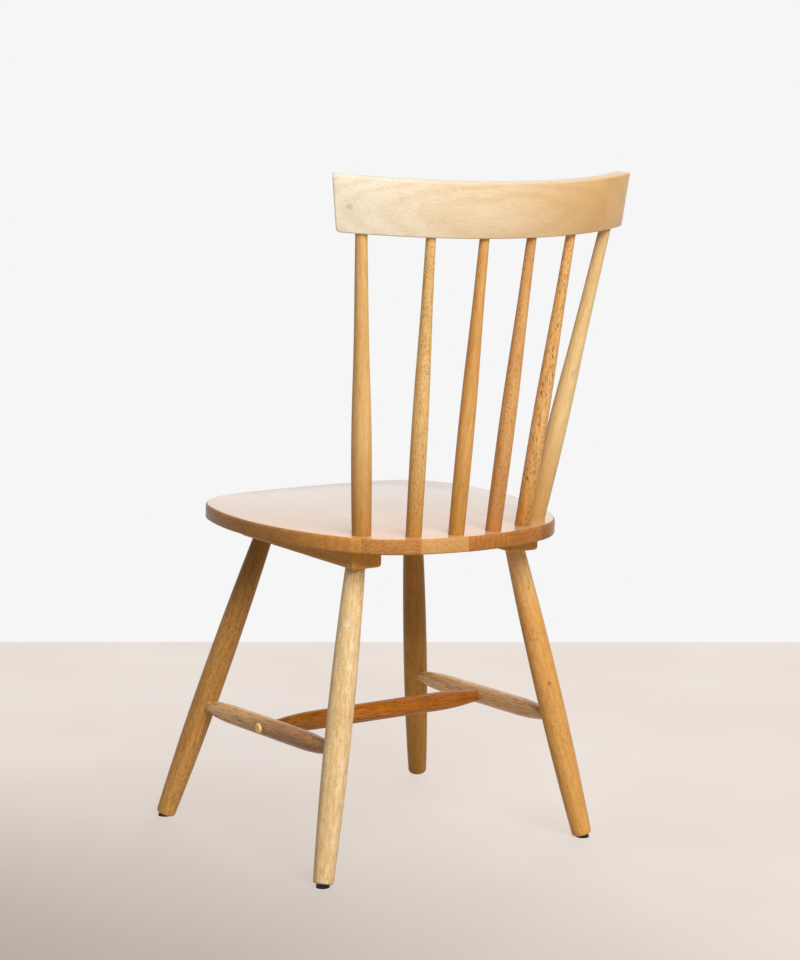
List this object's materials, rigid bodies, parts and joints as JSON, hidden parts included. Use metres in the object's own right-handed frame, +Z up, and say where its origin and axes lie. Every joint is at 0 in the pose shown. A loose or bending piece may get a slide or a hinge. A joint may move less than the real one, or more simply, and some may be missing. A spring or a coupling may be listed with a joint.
{
  "type": "dining chair",
  "caption": "Wooden dining chair with a spindle back, a curved crest rail, a rounded glued-board seat, splayed turned legs and an H-shaped stretcher.",
  "frame": {"origin": "on the floor, under the middle of the chair's overall box", "axes": "+Z up; the sitter faces -Y, so the back is towards +Y; +X is the sitter's left"},
  "size_m": [0.4608, 0.5359, 0.9039],
  "materials": {
    "batten_wood": "clear satin lacquer",
    "crest_wood": "clear satin lacquer",
    "glide_nylon": "matte moulded nylon",
    "leg_wood": "clear satin lacquer",
    "plug_wood": "clear satin lacquer",
    "seat_brown": "clear satin lacquer",
    "seat_red": "clear satin lacquer",
    "seat_yellow": "clear satin lacquer",
    "spindle_wood": "clear satin lacquer",
    "steel": "zinc plated",
    "stretcher_wood": "clear satin lacquer"
  },
  "bodies": {
    "root": {"crest_rail": "crest_wood", "cross_stretcher": "stretcher_wood", "glide_nails": "steel", "left_batten": "batten_wood", "left_batten_screws": "steel", "left_front_glide": "glide_nylon", "left_front_leg": "leg_wood", "left_inner_spindle": "spindle_wood", "left_middle_spindle": "spindle_wood", "left_outer_spindle": "spindle_wood", "left_rear_glide": "glide_nylon", "left_rear_leg": "leg_wood", "left_side_stretcher": "stretcher_wood", "left_stretcher_plug": "plug_wood", "left_stretcher_screw": "steel", "right_batten": "batten_wood", "right_batten_screws": "steel", "right_front_glide": "glide_nylon", "right_front_leg": "leg_wood", "right_inner_spindle": "spindle_wood", "right_middle_spindle": "spindle_wood", "right_outer_spindle": "spindle_wood", "right_rear_glide": "glide_nylon", "right_rear_leg": "leg_wood", "right_side_stretcher": "stretcher_wood", "right_stretcher_plug": "plug_wood", "right_stretcher_screw": "steel", "seat_board_1": "seat_brown", "seat_board_2": "seat_red", "seat_board_3": "seat_yellow", "seat_board_4": "seat_brown", "seat_board_5": "seat_yellow", "seat_board_6": "seat_red", "seat_board_7": "seat_yellow"}
  },
  "joints": []
}
